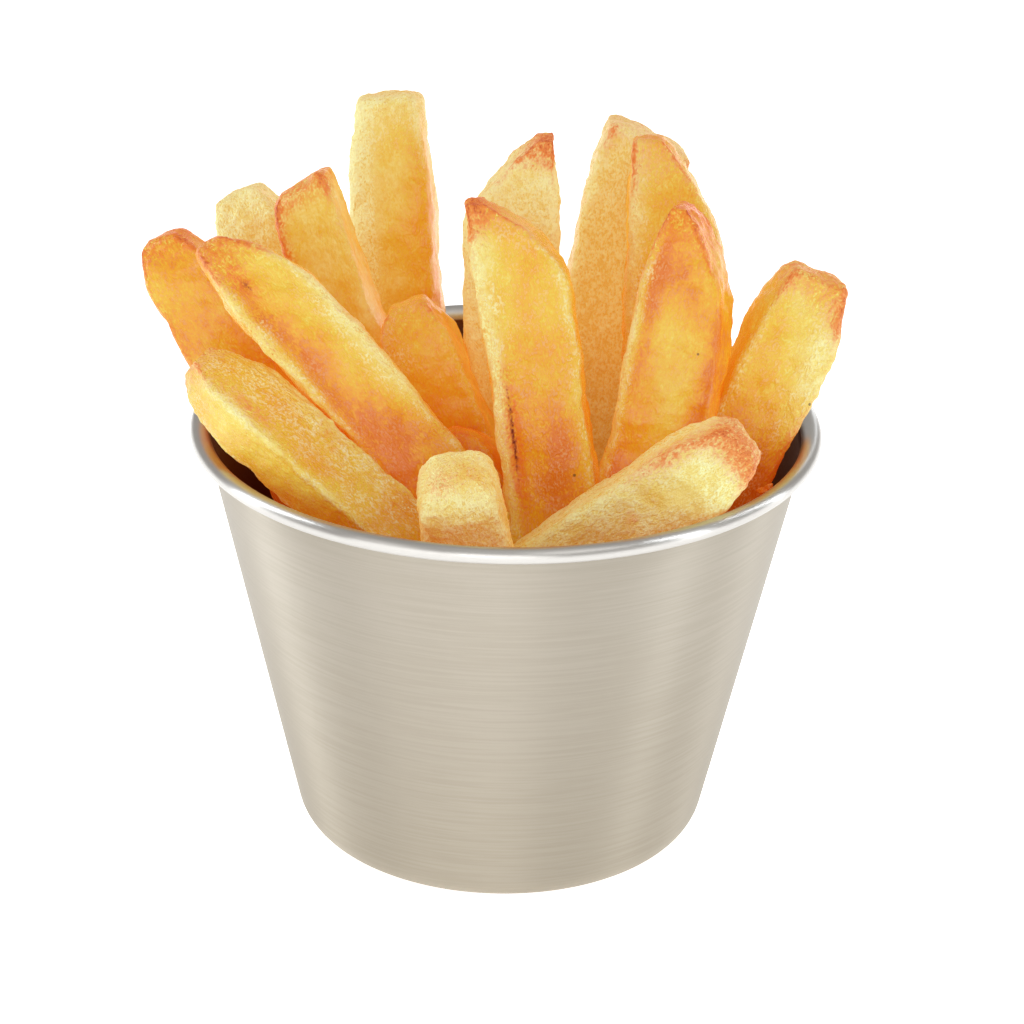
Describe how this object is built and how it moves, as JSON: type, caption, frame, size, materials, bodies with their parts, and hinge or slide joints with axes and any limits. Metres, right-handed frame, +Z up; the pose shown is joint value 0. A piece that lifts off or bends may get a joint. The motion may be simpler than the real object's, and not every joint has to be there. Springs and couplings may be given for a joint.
{
  "type": "french fries portion",
  "caption": "Portion of thick-cut french fries standing in a small tapered steel cup with a rolled rim.",
  "frame": {"origin": "centre of the cup's flat base, on the table", "axes": "+Z up along the cup's axis, seen from -Y, +X to the right"},
  "size_m": [0.1152, 0.104, 0.1184],
  "materials": {
    "steel": "satin brushed stainless steel, polished rolled rim",
    "fried_potato": "golden fried potato with browned tips and edges, slightly oily"
  },
  "bodies": {
    "root": {"cup": "steel", "fries": "fried_potato"}
  },
  "joints": []
}
